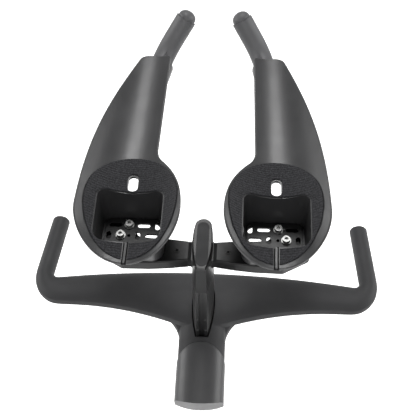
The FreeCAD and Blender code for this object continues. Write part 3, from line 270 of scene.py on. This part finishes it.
def exit_distance(heading, centre, half):
    """Distance from the pad's middle, in a direction, to the far side of an ellipse round it."""
    offset = PAD_MIDDLE - centre
    a = (heading.x / half[0]) ** 2 + (heading.y / half[1]) ** 2
    b = offset.x * heading.x / half[0] ** 2 + offset.y * heading.y / half[1] ** 2
    c = (offset.x / half[0]) ** 2 + (offset.y / half[1]) ** 2 - 1
    return (-b + math.sqrt(b * b - a * c)) / a


def pad_outer(turn):
    """Distance to the pad's oval outline, held back from the rim on the inner side."""
    heading = Vector((math.cos(turn), math.sin(turn)))
    rim = exit_distance(heading, RIM_CENTRE, (RIM_RADIUS, RIM_RADIUS))
    return min(exit_distance(heading, PAD_CENTRE, PAD_HALF), rim)


def well_edge(turn):
    """Distance to the rounded rectangle of the well."""
    across = abs(math.cos(turn))
    along = abs(math.sin(turn))
    reach = min(WELL_HALF[0] / max(across, 1e-9), WELL_HALF[1] / max(along, 1e-9))
    corner = Vector((WELL_HALF[0] - WELL_CORNER, WELL_HALF[1] - WELL_CORNER))
    if reach * across > corner.x and reach * along > corner.y:
        ahead = corner.x * across + corner.y * along
        reach = ahead + math.sqrt(max(ahead ** 2 - corner.length_squared + WELL_CORNER ** 2, 0))
    return reach


def pad_inner(turn):
    """Distance to the edge of the well, or of the slot ahead of it."""
    reach = well_edge(turn)
    if math.sin(turn) > 0:
        centre = SLOT_END - SLOT_HALF - PAD_MIDDLE.y
        side = abs(math.cos(turn))
        straight = SLOT_HALF / max(side, 1e-6)
        if straight * math.sin(turn) <= centre:
            reach = max(reach, straight)
        else:
            inside = max(SLOT_HALF ** 2 - (centre * side) ** 2, 0)
            reach = max(reach, centre * math.sin(turn) + math.sqrt(inside))
    return reach


def slot_bridge(side, verts):
    """Adds the strip of fabric between the well and the slot's round end, and gives its faces."""
    first = len(verts)
    steps = BRIDGE_STEPS
    rows = BRIDGE_ROWS
    for layer in (PAD_UNDER, BRIDGE_TOP):
        for step in range(steps + 1):
            across = SLOT_HALF * (2 * step / steps - 1)
            near = PAD_MIDDLE.y + WELL_HALF[1]
            far = SLOT_BACK - math.sqrt(SLOT_HALF ** 2 - across ** 2)
            for row in range(rows + 1):
                along = near + (far - near) * row / rows
                verts.append(to_world(on_trough(PAD_MIDDLE.x + across, along, layer), side))
    width = rows + 1
    half = (steps + 1) * width
    loops = []
    for step in range(steps):
        for row in range(rows):
            a = first + step * width + row
            loops.append((half + a + width, half + a + width + 1, half + a + 1, half + a))
            loops.append((a, a + 1, a + width + 1, a + width))
        for row, order in ((0, 1), (rows, -1)):
            a = first + step * width + row
            loops.append((a, a + width, half + a + width, half + a)[::order])
    for step, order in ((0, -1), (steps, 1)):
        for row in range(rows):
            a = first + step * width + row
            loops.append((a, a + 1, half + a + 1, half + a)[::order])
    return loops if side > 0 else [loop[::-1] for loop in loops]


def loop_pad(side, name):
    """Soft sheet of two layers, rounded at its edges, as rings round the well."""
    rounds = PAD_ROUNDS
    rings = PAD_RINGS
    verts = []
    faces = []
    shares = [0.5 - 0.5 * math.cos(math.pi * ring / rings) for ring in range(rings + 1)]
    for layer in (0, 1):
        for count in range(rounds + 1):
            for share in shares:
                rough_turn = -math.pi / 2 + 2 * math.pi * count / rounds
                near = pad_inner(rough_turn)
                far = pad_outer(rough_turn)
                reach = near + (far - near) * share
                gap = math.asin(GAP_HALF / reach)
                turn = -math.pi / 2 + gap + (2 * math.pi - 2 * gap) * count / rounds
                near = pad_inner(turn)
                far = pad_outer(turn)
                reach = near + (far - near) * share
                edge = min(reach - near, far - reach, min(count, rounds - count) * END_STEP)
                ease = max(0.0, min(1.0, edge / PAD_EASE))
                swell = PAD_EDGE + (PAD_THICK - PAD_EDGE) * math.sqrt(1 - (1 - ease) ** 2)
                rise = PAD_UNDER + layer * swell
                spot = PAD_MIDDLE + Vector((math.cos(turn), math.sin(turn))) * reach
                verts.append(to_world(on_trough(spot.x, spot.y, rise), side))
    width = rings + 1
    half = (rounds + 1) * width

    def quad(a, b, c, d):
        faces.append((a, b, c, d) if side > 0 else (d, c, b, a))

    for count in range(rounds):
        for ring in range(rings):
            a = count * width + ring
            quad(half + a, half + a + 1, half + a + width + 1, half + a + width)
            quad(a, a + width, a + width + 1, a + 1)
        first = count * width
        last = first + rings
        quad(first, half + first, half + first + width, first + width)
        quad(last, last + width, half + last + width, half + last)
    for ring in range(rings):
        end = rounds * width + ring
        quad(ring, ring + 1, half + ring + 1, half + ring)
        quad(end, half + end, half + end + 1, end + 1)
    bridge_faces = slot_bridge(side, verts)
    mesh = bpy.data.meshes.new(name)
    mesh.from_pydata(verts, [], faces + bridge_faces)
    mesh.shade_smooth()
    mesh.materials.append(MATERIALS["cloth"])
    pad = bpy.data.objects.new(name, mesh)
    scene.collection.objects.link(pad)
    return pad


def paint_split_shade(arm, side):
    """Paints shade on the walls and floors of the two grooves in the cup's rear rim, with the dark gasket
    finish.
    """
    arm.data.materials.append(MATERIALS["gasket"])
    level = Matrix.Rotation(-PITCH, 3, "X")
    for face in arm.data.polygons:
        spot = arm.matrix_world @ face.center
        local = level @ (Vector((spot.x * side, spot.y, spot.z)) - ARM_DATUM) / MM
        if abs(local.x - PAD_MIDDLE.x) < SPLIT_HALF and local.y < SPLIT_FRONT:
            sunk = on_trough(local.x, local.y, 0).z - local.z
            if SPLIT_SUNK < sunk < SPLIT_DEPTH:
                # Painted shade: this groove face takes the near-black gasket finish in place of the arm's
                # own satin.
                face.material_index = 1


for side, hand in ((1, "right"), (-1, "left")):
    paint_split_shade(nodes[f"arm_{hand}"], side)
    pad = loop_pad(side, f"soft_pad_{hand}")
    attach(pad, "root")
    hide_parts(f"loop_pad_{hand}")


# Pale floor, white surround and soft studio lights.

SURROUND_FILL = 0.28
CEILING = 0.3
FLOOR_HALF = 30.0
FLOOR_LEVEL = -0.35
FLOOR_GLOW = 0.75
MIDDLE = (0, 0.12, 0.12)


def seen_plainly(tree):
    """One for what the camera sees directly, in a reflection or through glass."""
    path = tree.nodes.new("ShaderNodeLightPath")
    seen = path.outputs["Is Camera Ray"]
    for output in ("Is Glossy Ray", "Is Transmission Ray"):
        either = tree.nodes.new("ShaderNodeMath")
        either.operation = "MAXIMUM"
        tree.links.new(seen, either.inputs[0])
        tree.links.new(path.outputs[output], either.inputs[1])
        seen = either.outputs[0]
    return seen


world = bpy.data.worlds.new("studio")
scene.world = world
world.use_nodes = True
tree = world.node_tree
tree.nodes.clear()
direction = tree.nodes.new("ShaderNodeSeparateXYZ")
tree.links.new(tree.nodes.new("ShaderNodeTexCoord").outputs["Generated"], direction.inputs["Vector"])
plain = tree.nodes.new("ShaderNodeBackground")
ceiling = ramp(tree, direction.outputs["Z"], (0.18, grey(1.0, 1.0)), (0.5, grey(CEILING, 1.0)))
tree.links.new(ceiling, plain.inputs["Color"])
plain.inputs["Strength"].default_value = 1.0
dim = tree.nodes.new("ShaderNodeBackground")
dim.inputs["Color"].default_value = (1, 1, 1, 1)
dim.inputs["Strength"].default_value = SURROUND_FILL
choose = tree.nodes.new("ShaderNodeMixShader")
tree.links.new(seen_plainly(tree), choose.inputs["Fac"])
tree.links.new(dim.outputs["Background"], choose.inputs[1])
tree.links.new(plain.outputs["Background"], choose.inputs[2])
out = tree.nodes.new("ShaderNodeOutputWorld")
tree.links.new(choose.outputs["Shader"], out.inputs["Surface"])

floor_mesh = bpy.data.meshes.new("floor")
corners = [(x * FLOOR_HALF, y * FLOOR_HALF, FLOOR_LEVEL) for x, y in ((-1, -1), (1, -1), (1, 1), (-1, 1))]
floor_mesh.from_pydata(corners, [], [(0, 1, 2, 3)])
floor = bpy.data.objects.new("floor", floor_mesh)
scene.collection.objects.link(floor)
pale, tree, shader, place = new_material("pale_floor")
colour = ramp(tree, noise(tree, place, 3, 2), (0.3, grey(0.86, 1.0)), (0.7, grey(0.9, 1.0)))
tree.links.new(colour, shader.inputs["Base Color"])
shader.inputs["Roughness"].default_value = 0.9
glow = tree.nodes.new("ShaderNodeEmission")
glow.inputs["Strength"].default_value = FLOOR_GLOW
add = tree.nodes.new("ShaderNodeAddShader")
mix = tree.nodes.new("ShaderNodeMixShader")
tree.links.new(shader.outputs["BSDF"], add.inputs[0])
tree.links.new(glow.outputs["Emission"], add.inputs[1])
tree.links.new(seen_plainly(tree), mix.inputs["Fac"])
tree.links.new(shader.outputs["BSDF"], mix.inputs[1])
tree.links.new(add.outputs["Shader"], mix.inputs[2])
tree.links.new(mix.outputs["Shader"], tree.nodes["Material Output"].inputs["Surface"])
floor_mesh.materials.append(pale)


def softbox(name, spot, target, width, height, power):
    """Rectangular area lamp aimed at a target, in metres and watts."""
    light = bpy.data.lights.new(name, "AREA")
    light.shape = "RECTANGLE"
    light.size = width
    light.size_y = height
    light.energy = power
    lamp = bpy.data.objects.new(name, light)
    lamp.location = spot
    lamp.rotation_euler = (Vector(target) - Vector(spot)).to_track_quat("-Z", "Y").to_euler()
    scene.collection.objects.link(lamp)


softbox("key_front", (0.0, 0.72, 1.65), MIDDLE, 0.5, 0.9, 15.5)
softbox("fill_rear", (0.0, -1.5, 0.95), MIDDLE, 1.3, 0.6, 13)
softbox("side_left", (-1.3, 0.35, 0.62), MIDDLE, 1.0, 0.8, 11)
softbox("side_right", (1.3, 0.35, 0.62), MIDDLE, 1.0, 0.8, 11)

# Camera, as fitted to the outline in the photo.

CAMERA_SPOT = Vector((37.18, -528.66, 844.25)) * MM
CAMERA_YAW = -0.0511
CAMERA_DIP = 0.78813
CAMERA_ROLL = -0.00323
camera_data = bpy.data.cameras.new("camera")
camera_data.sensor_width = 36
camera_data.lens = 69.06
camera = bpy.data.objects.new("camera", camera_data)
camera.location = CAMERA_SPOT
ahead = math.cos(CAMERA_DIP)
heading = Vector((math.sin(CAMERA_YAW) * ahead, math.cos(CAMERA_YAW) * ahead, -math.sin(CAMERA_DIP)))
roll = Quaternion((0, 0, 1), CAMERA_ROLL)
camera.rotation_euler = (heading.to_track_quat("-Z", "Y") @ roll).to_euler()
scene.collection.objects.link(camera)
scene.camera = camera
